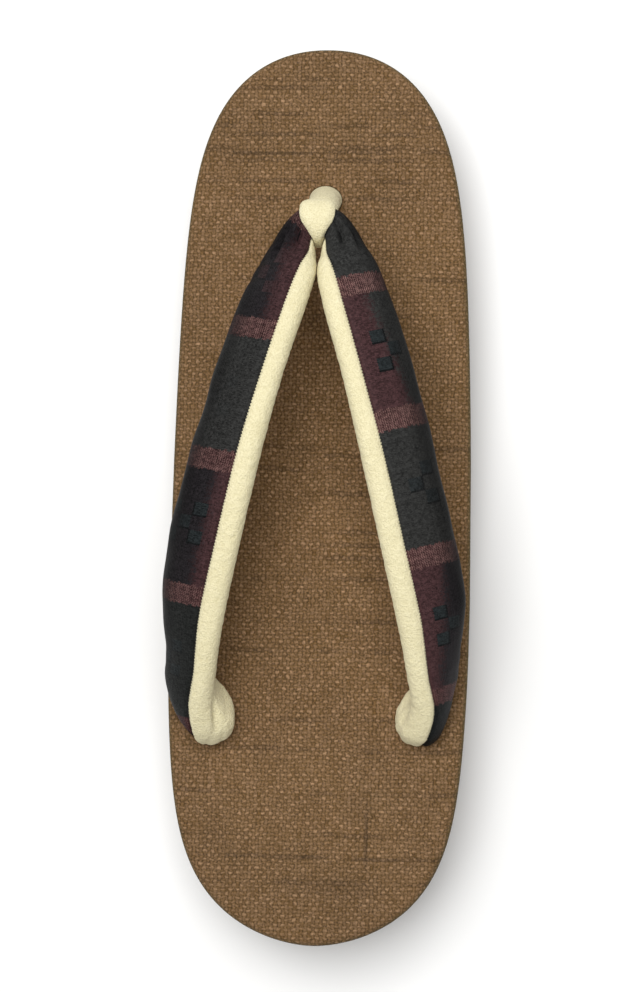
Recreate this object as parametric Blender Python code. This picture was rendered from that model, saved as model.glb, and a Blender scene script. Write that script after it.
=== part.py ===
"""Zori sandal: an oval cloth-topped sole with a padded V-shaped thong strap.

Metres, +Z up, +Y towards the toe, +X to the wearer's right. The origin is on the
floor, below the middle of the sole. The sole is the same on both sides of X = 0.
"""

import math

import bmesh
import bpy
from mathutils import Vector

# Outline of the sole, seen from above
LENGTH = 0.245
WIDTH = 0.0828
WIDEST_ALONG = 0.62  # share of the length, from the toe
TOE_POWER, TOE_ROOT, TOE_TAPER = 8.4, 2.11, 0.145
HEEL_POWER, HEEL_ROOT, HEEL_TAPER = 6.6, 1.81, 0.16
OUTLINE_STEPS = 36  # points along one side, for each end
OUTLINE_CROWDING = 1.35  # over 1 puts the points closer together along the sides

# Heights of the sole
BALL_HEIGHT = 0.023
HEEL_HEIGHT = 0.034
TOE_SPRING = 0.0055
ARCH_RISE = 0.0035
HEEL_ROCKER = 0.0015
INSOLE_THICKNESS = 0.006
OUTSOLE_THICKNESS = 0.0035
SPRING_END, ARCH_START, ARCH_END, ROCKER_START = 0.16, 0.5, 0.66, 0.93
TOP_LINE = (  # share of the length from the toe, share of the rise from ball to heel
    {"along": 0.0, "rise": 0.17},
    {"along": 0.1, "rise": 0.06},
    {"along": 0.2, "rise": 0.0},
    {"along": 0.33, "rise": 0.02},
    {"along": 0.46, "rise": 0.14},
    {"along": 0.6, "rise": 0.4},
    {"along": 0.74, "rise": 0.69},
    {"along": 0.88, "rise": 0.91},
    {"along": 1.0, "rise": 1.0},
)
SLOPE_STEP = 0.001  # to each side of a point, where the board's slope is measured

# Side of the sole: how far each layer stands back from the outline
BOARD_EDGE_RADIUS = 0.0024
BOARD_EDGE_TURNS = 4
BOARD_UNDERCUT = 0.0006
CORE_INSET_TOP = 0.001
CORE_INSET_FOOT = 0.0034
CORE_SIDE = (  # share of the core's height, share of its taper from top to foot
    {"up": 0.0, "taper": 1.0},
    {"up": 0.3, "taper": 0.575},
    {"up": 0.7, "taper": 0.125},
    {"up": 1.0, "taper": 0.0},
)
RUBBER_INSET = 0.003
RUBBER_BEVEL = 0.0008
LAYER_GAP = 0.0003

# Strap: a flattened padded tube, cloth over the top and outside, lining inside
STRAP_WIDTH = 0.0206
STRAP_THICKNESS = 0.0098
STRAP_ARCH = 0.034  # highest centre of the strap above the top board
STRAP_HALF_SPREAD = 0.033  # furthest centre of one strap from X = 0
CLOTH_WALL = 0.0012
CLOTH_GAP = 0.00042
SEAM_OUTER_DEG = 206.0
STRAP_FULLNESS = 2.2  # superellipse exponent of the section
STEPS_PER_ROW = 2
CLOTH_POINTS = 11
LINING_POINTS = 12

# Where the strap is anchored
APEX_AHEAD = 0.2963  # share of the length, ahead of the middle of the sole
REAR_HOLE_BEHIND = 0.2461  # share of the length, behind the middle of the sole
TAIL_OUT = 0.865  # share of the strap's half spread
TAIL_RADIUS = 0.0042
TAIL_DEPTH = 0.009
TAIL_PINCH_ABOVE = 0.0014  # where the strap starts to narrow into the hole
TAIL_MOUTH_ABOVE = 0.0004
TAIL_PINCH_WIDTH, TAIL_END_WIDTH = 1.28, 0.95  # shares of the tail's radius
TAIL_LEAN = 86.0
HOLE_CLEARANCE = 0.0004
HOLE_FLOOR_GAP = 0.0005
HOLE_SIDES = 20

# Rows run from the fold at the toe to just above the rear hole.
# out: share of the half spread. back: share of the way from the fold to the hole.
# rise: share of the arch. wide, plump: shares of the strap's width and thickness.
# lean: how far the inner edge is raised. down: how steeply the strap runs down.
# face: where the outer edge points, seen from above, 0 being +X. seam: where the
# cloth meets the lining on top, as an angle round the section.
STRAP_ROWS = (
    {"out": 0.0, "back": 0.0, "rise": 0.618, "wide": 0.417, "plump": 0.857, "lean": 10, "down": 0, "face": 90, "seam": 22},
    {"out": 0.101, "back": 0.002, "rise": 0.624, "wide": 0.427, "plump": 0.857, "lean": 12, "down": -10, "face": 70, "seam": 22},
    {"out": 0.151, "back": 0.026, "rise": 0.641, "wide": 0.524, "plump": 0.878, "lean": 16, "down": -18, "face": 43, "seam": 38},
    {"out": 0.197, "back": 0.06, "rise": 0.691, "wide": 0.654, "plump": 0.918, "lean": 26, "down": -27, "face": 26, "seam": 35},
    {"out": 0.247, "back": 0.098, "rise": 0.779, "wide": 0.864, "plump": 0.96, "lean": 34, "down": -28, "face": 18, "seam": 45},
    {"out": 0.336, "back": 0.163, "rise": 0.882, "wide": 0.978, "plump": 1.0, "lean": 36, "down": -17, "face": 16, "seam": 48},
    {"out": 0.491, "back": 0.281, "rise": 0.971, "wide": 0.985, "plump": 1.0, "lean": 34, "down": -6, "face": 18, "seam": 48},
    {"out": 0.661, "back": 0.439, "rise": 1.0, "wide": 1.0, "plump": 1.0, "lean": 31, "down": 4, "face": 17, "seam": 54},
    {"out": 0.84, "back": 0.624, "rise": 0.868, "wide": 1.03, "plump": 1.0, "lean": 31, "down": 16, "face": 14, "seam": 55},
    {"out": 0.957, "back": 0.764, "rise": 0.676, "wide": 1.04, "plump": 1.0, "lean": 37, "down": 26, "face": 10, "seam": 54},
    {"out": 0.982, "back": 0.868, "rise": 0.471, "wide": 0.93, "plump": 1.0, "lean": 50, "down": 36, "face": 6, "seam": 46},
    {"out": 0.974, "back": 0.93, "rise": 0.309, "wide": 0.874, "plump": 1.06, "lean": 65, "down": 47, "face": 2, "seam": 46},
    {"out": 0.895, "back": 0.98, "rise": 0.179, "wide": 0.796, "plump": 1.38, "lean": 76, "down": 66, "face": 0, "seam": 36},
    {"out": 0.868, "back": 0.998, "rise": 0.091, "wide": 0.69, "plump": 1.32, "lean": 84, "down": 82, "face": 0, "seam": 24},
)

# Front loop: a folded band round the fold of the strap, and the post below it
LOOP_WALL = 0.0019
LOOP_RIM_SHARE = 0.35  # share of the wall that is left at the band's rounded sides
LOOP_ROUNDING = 4  # how late the wall thins towards the sides
# Rows of STRAP_ROWS that the band covers on each side, at every 45 degrees of the section
LOOP_EDGE = (1.05, 1.6, 1.56, 1.08, 0.86, 0.8, 0.8, 0.85)
LOOP_HEM = 0.0008  # how far inside the strap's outside the band's ends are closed
LOOP_CLEARANCE = 0.00036
LOOP_RINGS = 8
LOOP_POINTS = 22
LOOP_ROOM_STEPS = 4  # steps of the strap, from the fold, that are cut from the band
POST_HALF_WIDTH = 0.0042
POST_HALF_DEPTH = 0.0036
POST_LEAN = 0.0086  # how far the toe hole is ahead of the fold
POST_DEPTH = 0.009
POST_COLLAR_ABOVE = 0.0015  # where the post leaves the square of its hole
POST_HEAD_AHEAD = 0.0008  # how far the post's head is ahead of the fold's centre
POST_BOW = 0.0007  # how far the post bulges forward between hole and fold
POST_SIDES = 20
POST_RISE = (  # share of the climb from hole to fold, share of the bow, share of the width
    {"climb": 0.3, "bow": 6 / 7, "width": 1.02},
    {"climb": 0.55, "bow": 1.0, "width": 1.0},
    {"climb": 0.8, "bow": 0.0, "width": 0.98},
    {"climb": 1.0, "bow": 0.0, "width": 0.9},
)
POST_END_WIDTH = 0.97  # share of the width at the bottom of the hole

SHARP_DEG = 35.0

PALETTE = {  # base colour and roughness
    "rubber": ((0.035, 0.024, 0.018, 1.0), 0.75),
    "side_cloth": ((0.13, 0.075, 0.04, 1.0), 0.85),
    "top_cloth": ((0.16, 0.095, 0.052, 1.0), 0.9),
    "strap_cloth": ((0.016, 0.017, 0.019, 1.0), 0.6),
    "lining": ((0.8, 0.74, 0.55, 1.0), 0.95),
    "loop": ((0.82, 0.76, 0.58, 1.0), 0.95),
}


def clear_scene():
    for obj in list(bpy.data.objects):
        bpy.data.objects.remove(obj)


def smooth_table(rows, place):
    """The row at a fractional index, on a smooth curve through all the rows."""
    last = len(rows) - 1
    place = min(max(place, 0.0), float(last))
    low = min(int(place), last - 1)
    share = place - low
    before, first, second, after = (
        rows[min(max(low + step, 0), last)] for step in (-1, 0, 1, 2)
    )
    blended = {}
    for name in first:
        a, b, c, d = before[name], first[name], second[name], after[name]
        blended[name] = b + 0.5 * share * (
            c - a + share * (2 * a - 5 * b + 4 * c - d + share * (3 * (b - c) + d - a))
        )
    return blended


def height_along(along):
    """Share of the rise from ball to heel at a share of the length from the toe."""
    along = min(max(along, 0.0), 1.0)
    low = max(i for i, row in enumerate(TOP_LINE[:-1]) if row["along"] <= along)
    span = TOP_LINE[low + 1]["along"] - TOP_LINE[low]["along"]
    return smooth_table(TOP_LINE, low + (along - TOP_LINE[low]["along"]) / span)["rise"]


def along_of(y):
    return 0.5 - y / LENGTH


def top_z(y):
    """Height of the top board's upper face."""
    return BALL_HEIGHT + height_along(along_of(y)) * (HEEL_HEIGHT - BALL_HEIGHT)


def under_z(y):
    """Height of the rubber's underside: flat at forefoot and heel, raised between."""
    along = along_of(y)
    spring = max(0.0, (SPRING_END - along) / SPRING_END)
    rocker = max(0.0, (along - ROCKER_START) / (1 - ROCKER_START))
    z = TOE_SPRING * spring**2 + HEEL_ROCKER * rocker**2
    if ARCH_START < along < ARCH_END:
        share = (along - ARCH_START) / (ARCH_END - ARCH_START)
        z += ARCH_RISE * math.sin(math.pi * share) ** 2
    return z


def end_outline(angle, power, root, taper, reach):
    """A point on one end of the outline: (distance from the widest line, half width)."""
    away = math.sin(angle) ** (2 / power)
    half = math.cos(angle) ** (2 / root) if angle < math.pi / 2 else 0.0
    return away * reach, WIDTH / 2 * half * (1 - taper * away**2)


def side_outline():
    """Points of the right side of the sole, from the toe's tip to the heel's tip."""
    widest_y = LENGTH * (0.5 - WIDEST_ALONG)
    toe_reach, heel_reach = LENGTH * WIDEST_ALONG, LENGTH * (1 - WIDEST_ALONG)
    shares = [(1 - i / OUTLINE_STEPS) ** OUTLINE_CROWDING for i in range(OUTLINE_STEPS)]
    angles = [math.pi / 2 * share for share in shares]
    toe = [end_outline(a, TOE_POWER, TOE_ROOT, TOE_TAPER, toe_reach) for a in angles]
    heel = [end_outline(a, HEEL_POWER, HEEL_ROOT, HEEL_TAPER, heel_reach) for a in angles]
    points = [Vector((half, widest_y + away)) for away, half in toe]
    points.append(Vector((WIDTH / 2, widest_y)))
    points += [Vector((half, widest_y - away)) for away, half in reversed(heel)]
    return points


def inset_outline(points, inset):
    """The side outline moved inwards by inset, square to itself."""
    moved = []
    for i, point in enumerate(points):
        if i in (0, len(points) - 1):
            inward = Vector((0.0, -1.0 if i == 0 else 1.0))
        else:
            run = points[i + 1] - points[i - 1]
            inward = Vector((run.y, -run.x)).normalized()
        moved.append(point + inward * inset)
    return moved


def mesh_object(name, bm, palette_key=None):
    bmesh.ops.recalc_face_normals(bm, faces=bm.faces)
    mesh = bpy.data.meshes.new(name)
    bm.to_mesh(mesh)
    bm.free()
    obj = bpy.data.objects.new(name, mesh)
    bpy.context.scene.collection.objects.link(obj)
    if palette_key:
        finish(obj, palette_key)
    return obj


def finish(obj, palette_key):
    """Gives the object its own material, and smooth shading with crisp edges."""
    colour, roughness = PALETTE[palette_key]
    material = bpy.data.materials.new(palette_key)
    material.use_nodes = True
    shader = material.node_tree.nodes["Principled BSDF"]
    shader.inputs["Base Color"].default_value = colour
    shader.inputs["Roughness"].default_value = roughness
    obj.data.materials.append(material)
    obj.data.shade_smooth()
    obj.data.set_sharp_from_angle(angle=math.radians(SHARP_DEG))


def sole_layer(name, levels, palette_key):
    """A layer of the sole. levels: (inset, function of y giving the height), bottom up."""
    outline = side_outline()
    bm = bmesh.new()
    rings = []
    for inset, height in levels:
        side = inset_outline(outline, inset)
        right = [bm.verts.new((p.x, p.y, height(p.y))) for p in side]
        left = [bm.verts.new((-p.x, p.y, height(p.y))) for p in side[1:-1]]
        rings.append(right + left[::-1])
    count, last = len(rings[0]), len(outline) - 1
    for low, high in zip(rings, rings[1:]):
        for i in range(count):
            j = (i + 1) % count
            bm.faces.new((low[i], low[j], high[j], high[i]))
    for ring in (rings[0], rings[-1]):
        bm.faces.new((ring[0], ring[1], ring[-1]))
        for i in range(1, last - 1):
            bm.faces.new((ring[i], ring[i + 1], ring[count - i - 1], ring[count - i]))
        bm.faces.new((ring[last - 1], ring[last], ring[last + 1]))
    return mesh_object(name, bm, palette_key)


def rear_hole():
    """Middle of the right rear hole on the top board's face."""
    y = -REAR_HOLE_BEHIND * LENGTH
    return Vector((TAIL_OUT * STRAP_HALF_SPREAD, y, top_z(y)))


def toe_hole():
    y = APEX_AHEAD * LENGTH + POST_LEAN
    return Vector((0.0, y, top_z(y)))


def board_normal(y):
    """Direction square to the top board's face."""
    drop = top_z(y - SLOPE_STEP) - top_z(y + SLOPE_STEP)
    return Vector((0.0, drop, 2 * SLOPE_STEP)).normalized()


def strap_row(place):
    """Centre, frame and half sizes of the right-hand strap at a fractional row."""
    row = smooth_table(STRAP_ROWS, place)
    fold_y, hole_y = APEX_AHEAD * LENGTH, -REAR_HOLE_BEHIND * LENGTH
    y = fold_y + (hole_y - fold_y) * row["back"]
    row["centre"] = Vector((row["out"] * STRAP_HALF_SPREAD, y, top_z(y) + row["rise"] * STRAP_ARCH))
    row["half_wide"] = row["wide"] * STRAP_WIDTH / 2
    row["half_thick"] = row["plump"] * STRAP_THICKNESS / 2
    return row


def framed(row):
    """Adds the section's axes: u to the raised inner edge, v square out of the cloth."""
    facing, lean, down = (math.radians(row[name]) for name in ("face", "lean", "down"))
    lateral = Vector((math.cos(facing), math.sin(facing), 0.0))
    heading = Vector((math.sin(facing), -math.cos(facing), 0.0))
    normal = heading * math.sin(down) + Vector((0.0, 0.0, math.cos(down)))
    row["u"] = normal * math.sin(lean) - lateral * math.cos(lean)
    row["v"] = normal * math.cos(lean) + lateral * math.sin(lean)
    return row


def strap_station(place):
    return framed(strap_row(place))


def tail_stations():
    """The pinched end of the strap, going square into the rear hole."""
    hole = rear_hole()
    normal = board_normal(hole.y)
    down = math.degrees(math.acos(normal.y))
    stations = []
    for height, radius in (
        (TAIL_PINCH_ABOVE, TAIL_RADIUS * TAIL_PINCH_WIDTH),
        (TAIL_MOUTH_ABOVE, TAIL_RADIUS),
        (-TAIL_DEPTH, TAIL_RADIUS * TAIL_END_WIDTH),
    ):
        row = dict(STRAP_ROWS[-1], lean=TAIL_LEAN, face=0, down=down)
        row["centre"] = hole + normal * height
        row["half_wide"] = row["half_thick"] = radius
        stations.append(framed(row))
    return stations


def half_strap():
    """Stations of the right-hand strap, from the fold to the end of its tail."""
    count = (len(STRAP_ROWS) - 1) * STEPS_PER_ROW
    return [strap_station(i / STEPS_PER_ROW) for i in range(count + 1)] + tail_stations()


def section_point(row, angle, inset):
    """A point of the section: 0 is the raised inner edge, 90 degrees the cloth's top."""
    wide, thick = row["half_wide"] - inset, row["half_thick"] - inset
    power = 2 / STRAP_FULLNESS
    c, s = math.cos(angle), math.sin(angle)
    across = math.copysign(abs(c) ** power, c) * wide
    out = math.copysign(abs(s) ** power, s) * thick
    return row["centre"] + row["u"] * across + row["v"] * out


def spread(start, end, count):
    return [start + (end - start) * i / (count - 1) for i in range(count)]


def seam_step(row, angle):
    """The angle that the gap between cloth and lining takes at the section's edge."""
    reach = math.hypot(row["half_wide"] * math.sin(angle), row["half_thick"] * math.cos(angle))
    return CLOTH_GAP / reach


def cloth_ring(row):
    angles = spread(math.radians(row["seam"]), math.radians(SEAM_OUTER_DEG), CLOTH_POINTS)
    outer = [section_point(row, a, 0.0) for a in angles]
    inner = [section_point(row, a, CLOTH_WALL) for a in reversed(angles)]
    return outer + inner


def lining_ring(row):
    top, low = math.radians(row["seam"]), math.radians(SEAM_OUTER_DEG)
    top -= seam_step(row, top)
    low += seam_step(row, low)
    inset = CLOTH_WALL + CLOTH_GAP
    covered = [section_point(row, a, inset) for a in spread(low, top, CLOTH_POINTS)]
    bare = spread(top + 2 * math.pi, low, LINING_POINTS)
    return covered + [section_point(row, a, 0.0) for a in bare]


def whole_ring(row, growth):
    """The whole section grown all round, with its corners in line with the strap's."""
    top, low = math.radians(row["seam"]), math.radians(SEAM_OUTER_DEG)
    angles = spread(top, low, CLOTH_POINTS)
    angles += spread(low, top + 2 * math.pi, LINING_POINTS)[1:-1]
    return [section_point(row, angle, -growth) for angle in angles]


def mirrored(ring):
    return [Vector((-p.x, p.y, p.z)) for p in ring]


def both_sides(rings):
    """Rings of the right side, fold first, carried on through their mirror image."""
    return [mirrored(ring) for ring in reversed(rings[1:])] + rings


def loft(name, rings, palette_key=None):
    """A solid through the rings. The two halves' triangles mirror each other."""
    bm = bmesh.new()
    made = [[bm.verts.new(p) for p in ring] for ring in rings]
    count = len(made[0])
    for place, (low, high) in enumerate(zip(made, made[1:])):
        mirror_half = 2 * place + 1 < len(made) - 1
        for i in range(count):
            j = (i + 1) % count
            if mirror_half:
                bm.faces.new((low[i], low[j], high[i]))
                bm.faces.new((low[j], high[j], high[i]))
            else:
                bm.faces.new((low[i], low[j], high[j]))
                bm.faces.new((low[i], high[j], high[i]))
    bm.faces.new(made[0])
    bm.faces.new(made[-1])
    return mesh_object(name, bm, palette_key)


def combine(obj, other, operation):
    """Joins or cuts obj with a helper, which stays out of the model."""
    other.hide_render = True
    other.display_type = "WIRE"
    modifier = obj.modifiers.new(other.name, "BOOLEAN")
    modifier.operation = operation
    modifier.solver = "EXACT"
    modifier.object = other


def ellipse(centre, half_width, half_depth, sides, normal):
    """A ring of points square to normal, its width along X."""
    across = Vector((1.0, 0.0, 0.0))
    forward = normal.cross(across).normalized()
    turns = [2 * math.pi * i / sides for i in range(sides)]
    return [
        centre + across * math.cos(t) * half_width + forward * math.sin(t) * half_depth
        for t in turns
    ]


def hole_cutter(name, mouth, half_width, half_depth, depth, sides):
    """A drill square to the top board, standing clear above it."""
    normal = board_normal(mouth.y)
    centres = [mouth - normal * depth, mouth + normal * INSOLE_THICKNESS]
    return loft(name, [ellipse(c, half_width, half_depth, sides, normal) for c in centres])


def cut_holes(obj):
    """The toe hole and the two rear holes, cut from the strap's and post's own sizes."""
    right = rear_hole()
    radius = TAIL_RADIUS + HOLE_CLEARANCE
    for label, mouth in (("right", right), ("left", Vector((-right.x, right.y, right.z)))):
        depth = TAIL_DEPTH + HOLE_FLOOR_GAP
        name = f"{obj.name}_{label}_drill"
        combine(obj, hole_cutter(name, mouth, radius, radius, depth, HOLE_SIDES), "DIFFERENCE")
    drill = hole_cutter(
        f"{obj.name}_toe_drill",
        toe_hole(),
        POST_HALF_WIDTH + HOLE_CLEARANCE,
        POST_HALF_DEPTH + HOLE_CLEARANCE,
        POST_DEPTH + HOLE_FLOOR_GAP,
        POST_SIDES,
    )
    combine(obj, drill, "DIFFERENCE")


def build_outsole():
    def sole_face(y):
        return under_z(y)

    def at(share):
        return lambda y: under_z(y) + OUTSOLE_THICKNESS * share

    bevel_share = RUBBER_BEVEL / OUTSOLE_THICKNESS
    levels = (
        (RUBBER_INSET + RUBBER_BEVEL, sole_face),
        (RUBBER_INSET, at(bevel_share)),
        (RUBBER_INSET, at(1.0)),
    )
    return sole_layer("outsole", levels, "rubber")


def build_midsole():
    """The wrapped core: a wedge between the rubber and the top board."""

    def foot(y):
        return under_z(y) + OUTSOLE_THICKNESS + LAYER_GAP

    def head(y):
        return top_z(y) - INSOLE_THICKNESS - LAYER_GAP

    def between(share):
        return lambda y: foot(y) + (head(y) - foot(y)) * share

    taper = CORE_INSET_FOOT - CORE_INSET_TOP
    levels = [(CORE_INSET_TOP + taper * row["taper"], between(row["up"])) for row in CORE_SIDE]
    core = sole_layer("midsole", levels, "side_cloth")
    cut_holes(core)
    return core


def build_insole():
    """The cloth-covered top board with its rolled edge."""

    def at(drop):
        return lambda y: top_z(y) - drop

    levels = [(BOARD_UNDERCUT, at(INSOLE_THICKNESS)), (0.0, at(INSOLE_THICKNESS - BOARD_UNDERCUT))]
    for i in range(BOARD_EDGE_TURNS + 1):
        turn = math.pi / 2 * i / BOARD_EDGE_TURNS
        inset = BOARD_EDGE_RADIUS * (1 - math.cos(turn))
        levels.append((inset, at(BOARD_EDGE_RADIUS * (1 - math.sin(turn)))))
    board = sole_layer("insole", levels, "top_cloth")
    cut_holes(board)
    return board


def build_strap():
    """The upper: the cloth is an open shell, and the padded lining fills it."""
    stations = half_strap()
    cloth = loft("strap_cloth", both_sides([cloth_ring(s) for s in stations]), "strap_cloth")
    lining = loft("strap_lining", both_sides([lining_ring(s) for s in stations]), "lining")
    return cloth, lining


def edge_reach(angle):
    """How many rows of the strap the band covers at this place round the section."""
    place = math.degrees(angle) % 360 / 45
    low = int(place)
    following = LOOP_EDGE[(low + 1) % len(LOOP_EDGE)]
    return LOOP_EDGE[low] + (following - LOOP_EDGE[low]) * (place - low)


def loop_ring(share, growth):
    """A ring of the band, round the fold at share 0 and along the band's edge at 1."""
    angles = [2 * math.pi * i / LOOP_POINTS for i in range(LOOP_POINTS)]
    stations = [strap_station(edge_reach(angle) * share) for angle in angles]
    return [section_point(row, angle, -growth) for row, angle in zip(stations, angles)]


def loop_growth(share):
    """The band's outside above the strap. The band thins to a rounded edge at each side."""
    wall = LOOP_WALL * math.sqrt(1 - share**LOOP_ROUNDING)
    return LOOP_CLEARANCE + max(wall, LOOP_WALL * LOOP_RIM_SHARE)


def post_rings():
    """The post, from the blind end of the toe hole up to the strap's fold."""
    hole, fold = toe_hole(), strap_row(0.0)["centre"]
    normal = board_normal(hole.y)
    ahead = Vector((0.0, 1.0, 0.0))
    climb = fold + ahead * POST_HEAD_AHEAD - hole
    stations = [(hole - normal * POST_DEPTH, POST_END_WIDTH)]
    stations.append((hole + normal * POST_COLLAR_ABOVE, 1.0))
    for row in POST_RISE:
        bow = ahead * POST_BOW * row["bow"]
        stations.append((hole + climb * row["climb"] + bow, row["width"]))
    return [
        ellipse(centre, POST_HALF_WIDTH * width, POST_HALF_DEPTH * width, POST_SIDES, normal)
        for centre, width in stations
    ]


def build_front_loop():
    """The band round the fold, its post into the toe hole, and room for the strap."""
    shares = spread(0.0, 1.0, LOOP_RINGS + 1)
    rings = [loop_ring(share, loop_growth(share)) for share in shares]
    rings.append(loop_ring(1.0, -LOOP_HEM))
    band = loft("front_loop", both_sides(rings), "loop")
    combine(band, loft("loop_post", post_rings()), "UNION")
    stations = [strap_station(i / STEPS_PER_ROW) for i in range(LOOP_ROOM_STEPS + 1)]
    room = both_sides([whole_ring(station, LOOP_CLEARANCE) for station in stations])
    combine(band, loft("loop_room", room), "DIFFERENCE")
    return band


def main():
    clear_scene()
    build_outsole()
    build_midsole()
    build_insole()
    build_strap()
    build_front_loop()


main()
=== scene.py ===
import bisect
import math

import bmesh
import bpy
from mathutils import Matrix, Vector, noise


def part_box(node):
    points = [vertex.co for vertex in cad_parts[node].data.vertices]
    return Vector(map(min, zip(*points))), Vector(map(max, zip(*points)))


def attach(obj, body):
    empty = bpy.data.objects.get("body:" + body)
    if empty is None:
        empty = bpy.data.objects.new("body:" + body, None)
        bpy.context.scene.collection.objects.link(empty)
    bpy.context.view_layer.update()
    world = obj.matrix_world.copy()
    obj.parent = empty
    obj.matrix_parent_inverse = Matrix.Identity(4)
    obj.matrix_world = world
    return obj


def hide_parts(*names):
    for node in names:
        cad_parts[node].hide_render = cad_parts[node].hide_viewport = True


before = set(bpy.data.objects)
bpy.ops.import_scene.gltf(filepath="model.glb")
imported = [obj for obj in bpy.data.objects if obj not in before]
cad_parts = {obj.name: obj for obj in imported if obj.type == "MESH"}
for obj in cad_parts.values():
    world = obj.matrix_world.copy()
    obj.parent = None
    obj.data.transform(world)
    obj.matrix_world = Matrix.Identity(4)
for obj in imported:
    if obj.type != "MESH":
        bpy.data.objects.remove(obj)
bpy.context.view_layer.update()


def table(names, *rows):
    """Rows of values as dicts, each under the same names."""
    return [dict(zip(names, row)) for row in rows]


def srgb(red, green, blue):
    """A colour given in eight-bit display values, as linear light."""
    linear = []
    for value in (red, green, blue):
        share = value / 255
        linear.append(share / 12.92 if share <= 0.04045 else ((share + 0.055) / 1.055) ** 2.4)
    return (*linear, 1.0)


# Sole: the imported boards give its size, and the other values restate its construction
INSOLE_THICKNESS = 0.006
BOARD_LOW, BOARD_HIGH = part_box("insole")
LENGTH = BOARD_HIGH[1] - BOARD_LOW[1]
WIDTH = BOARD_HIGH[0] - BOARD_LOW[0]
HEEL_HEIGHT = BOARD_HIGH[2]
BALL_HEIGHT = BOARD_LOW[2] + INSOLE_THICKNESS
WIDEST_ALONG = 0.62
TOE_POWER, TOE_ROOT, TOE_TAPER = 8.4, 2.11, 0.145
HEEL_POWER, HEEL_ROOT, HEEL_TAPER = 6.6, 1.81, 0.16
OUTLINE_STEPS = 96
OUTLINE_CROWDING = 1.35
TOE_SPRING = 0.0055
ARCH_RISE = 0.0035
HEEL_ROCKER = 0.0015
OUTSOLE_THICKNESS = 0.0035
SPRING_END, ARCH_START, ARCH_END, ROCKER_START = 0.16, 0.5, 0.66, 0.93
TOP_LINE = table(
    ("along", "rise"),
    (0.0, 0.17),
    (0.1, 0.06),
    (0.2, 0.0),
    (0.33, 0.02),
    (0.46, 0.14),
    (0.6, 0.4),
    (0.74, 0.69),
    (0.88, 0.91),
    (1.0, 1.0),
)
SLOPE_STEP = 0.001
BOARD_EDGE_RADIUS = 0.0024
BOARD_EDGE_TURNS = 10
BOARD_UNDERCUT = 0.0006
BOARD_COLUMNS = 60
CORE_INSET_TOP = 0.001
CORE_INSET_FOOT = 0.0034
CORE_LEVELS = 8
CORE_FLARE = 1.45  # power of the share of its height, by which the core narrows to its foot
RUBBER_INSET = 0.003
RUBBER_BEVEL = 0.0008
LAYER_GAP = 0.0003

# Strap
STRAP_WIDTH = 0.0206
STRAP_THICKNESS = 0.0098
STRAP_ARCH = 0.034
STRAP_HALF_SPREAD = 0.033
CLOTH_WALL = 0.0012
CLOTH_GAP = 0.00042
SEAM_OUTER_DEG = 206.0
STRAP_FULLNESS = 2.2
APEX_AHEAD = 0.2963
REAR_HOLE_BEHIND = 0.2461
TAIL_OUT = 0.865
TAIL_RADIUS = 0.0042
TAIL_DEPTH = 0.009
TAIL_PINCH_ABOVE, TAIL_MOUTH_ABOVE = 0.0014, 0.0004
TAIL_PINCH_WIDTH, TAIL_END_WIDTH = 1.28, 0.95
TAIL_LEAN = 86.0
HOLE_CLEARANCE = 0.0004
HOLE_FLOOR_GAP = 0.0005
HOLE_SIDES = 40
STRAP_ROWS = table(
    ("out", "back", "rise", "wide", "plump", "lean", "down", "face", "seam"),
    (0.0, 0.0, 0.618, 0.417, 0.857, 10, 0, 90, 22),
    (0.101, 0.002, 0.624, 0.427, 0.857, 12, -10, 70, 22),
    (0.151, 0.026, 0.641, 0.524, 0.878, 16, -18, 43, 38),
    (0.197, 0.06, 0.691, 0.654, 0.918, 26, -27, 26, 35),
    (0.247, 0.098, 0.779, 0.864, 0.96, 34, -28, 18, 45),
    (0.336, 0.163, 0.882, 0.978, 1.0, 36, -17, 16, 48),
    (0.491, 0.281, 0.971, 0.985, 1.0, 34, -6, 18, 48),
    (0.661, 0.439, 1.0, 1.0, 1.0, 31, 4, 17, 54),
    (0.84, 0.624, 0.868, 1.03, 1.0, 31, 16, 14, 55),
    (0.957, 0.764, 0.676, 1.04, 1.0, 37, 26, 10, 54),
    (0.982, 0.868, 0.471, 0.93, 1.0, 50, 36, 6, 46),
    (0.974, 0.93, 0.309, 0.874, 1.06, 65, 47, 2, 46),
    (0.895, 0.98, 0.179, 0.796, 1.38, 76, 66, 0, 36),
    (0.868, 0.998, 0.091, 0.69, 1.32, 84, 82, 0, 24),
)

# Front loop
LOOP_WALL = 0.0019
LOOP_RIM_SHARE = 0.35
LOOP_ROUNDING = 4
LOOP_EDGE = (1.45, 1.62, 1.56, 1.08, 0.86, 0.8, 0.8, 0.85)
LOOP_HEM = 0.0008
LOOP_CLEARANCE = 0.00036
LOOP_ROOM_REACH = 2.0
POST_HALF_WIDTH = 0.0042
POST_HALF_DEPTH = 0.0036
POST_LEAN = 0.0086
POST_DEPTH = 0.009
COLLAR = table(  # the post crumples over its hole: height above the board, share of the width
    ("height", "width"),
    (0.0002, 1.0),
    (0.0003, 1.07),
    (0.0008, 1.08),
    (0.0015, 1.01),
)
POST_HEAD_AHEAD = 0.0008
POST_BOW = 0.0007
POST_RISE = table(
    ("climb", "bow", "width"),
    (0.3, 6 / 7, 1.02),
    (0.55, 1.0, 1.0),
    (0.8, 0.0, 0.98),
    (1.0, 0.0, 0.9),
)
POST_END_WIDTH = 0.97

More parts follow.
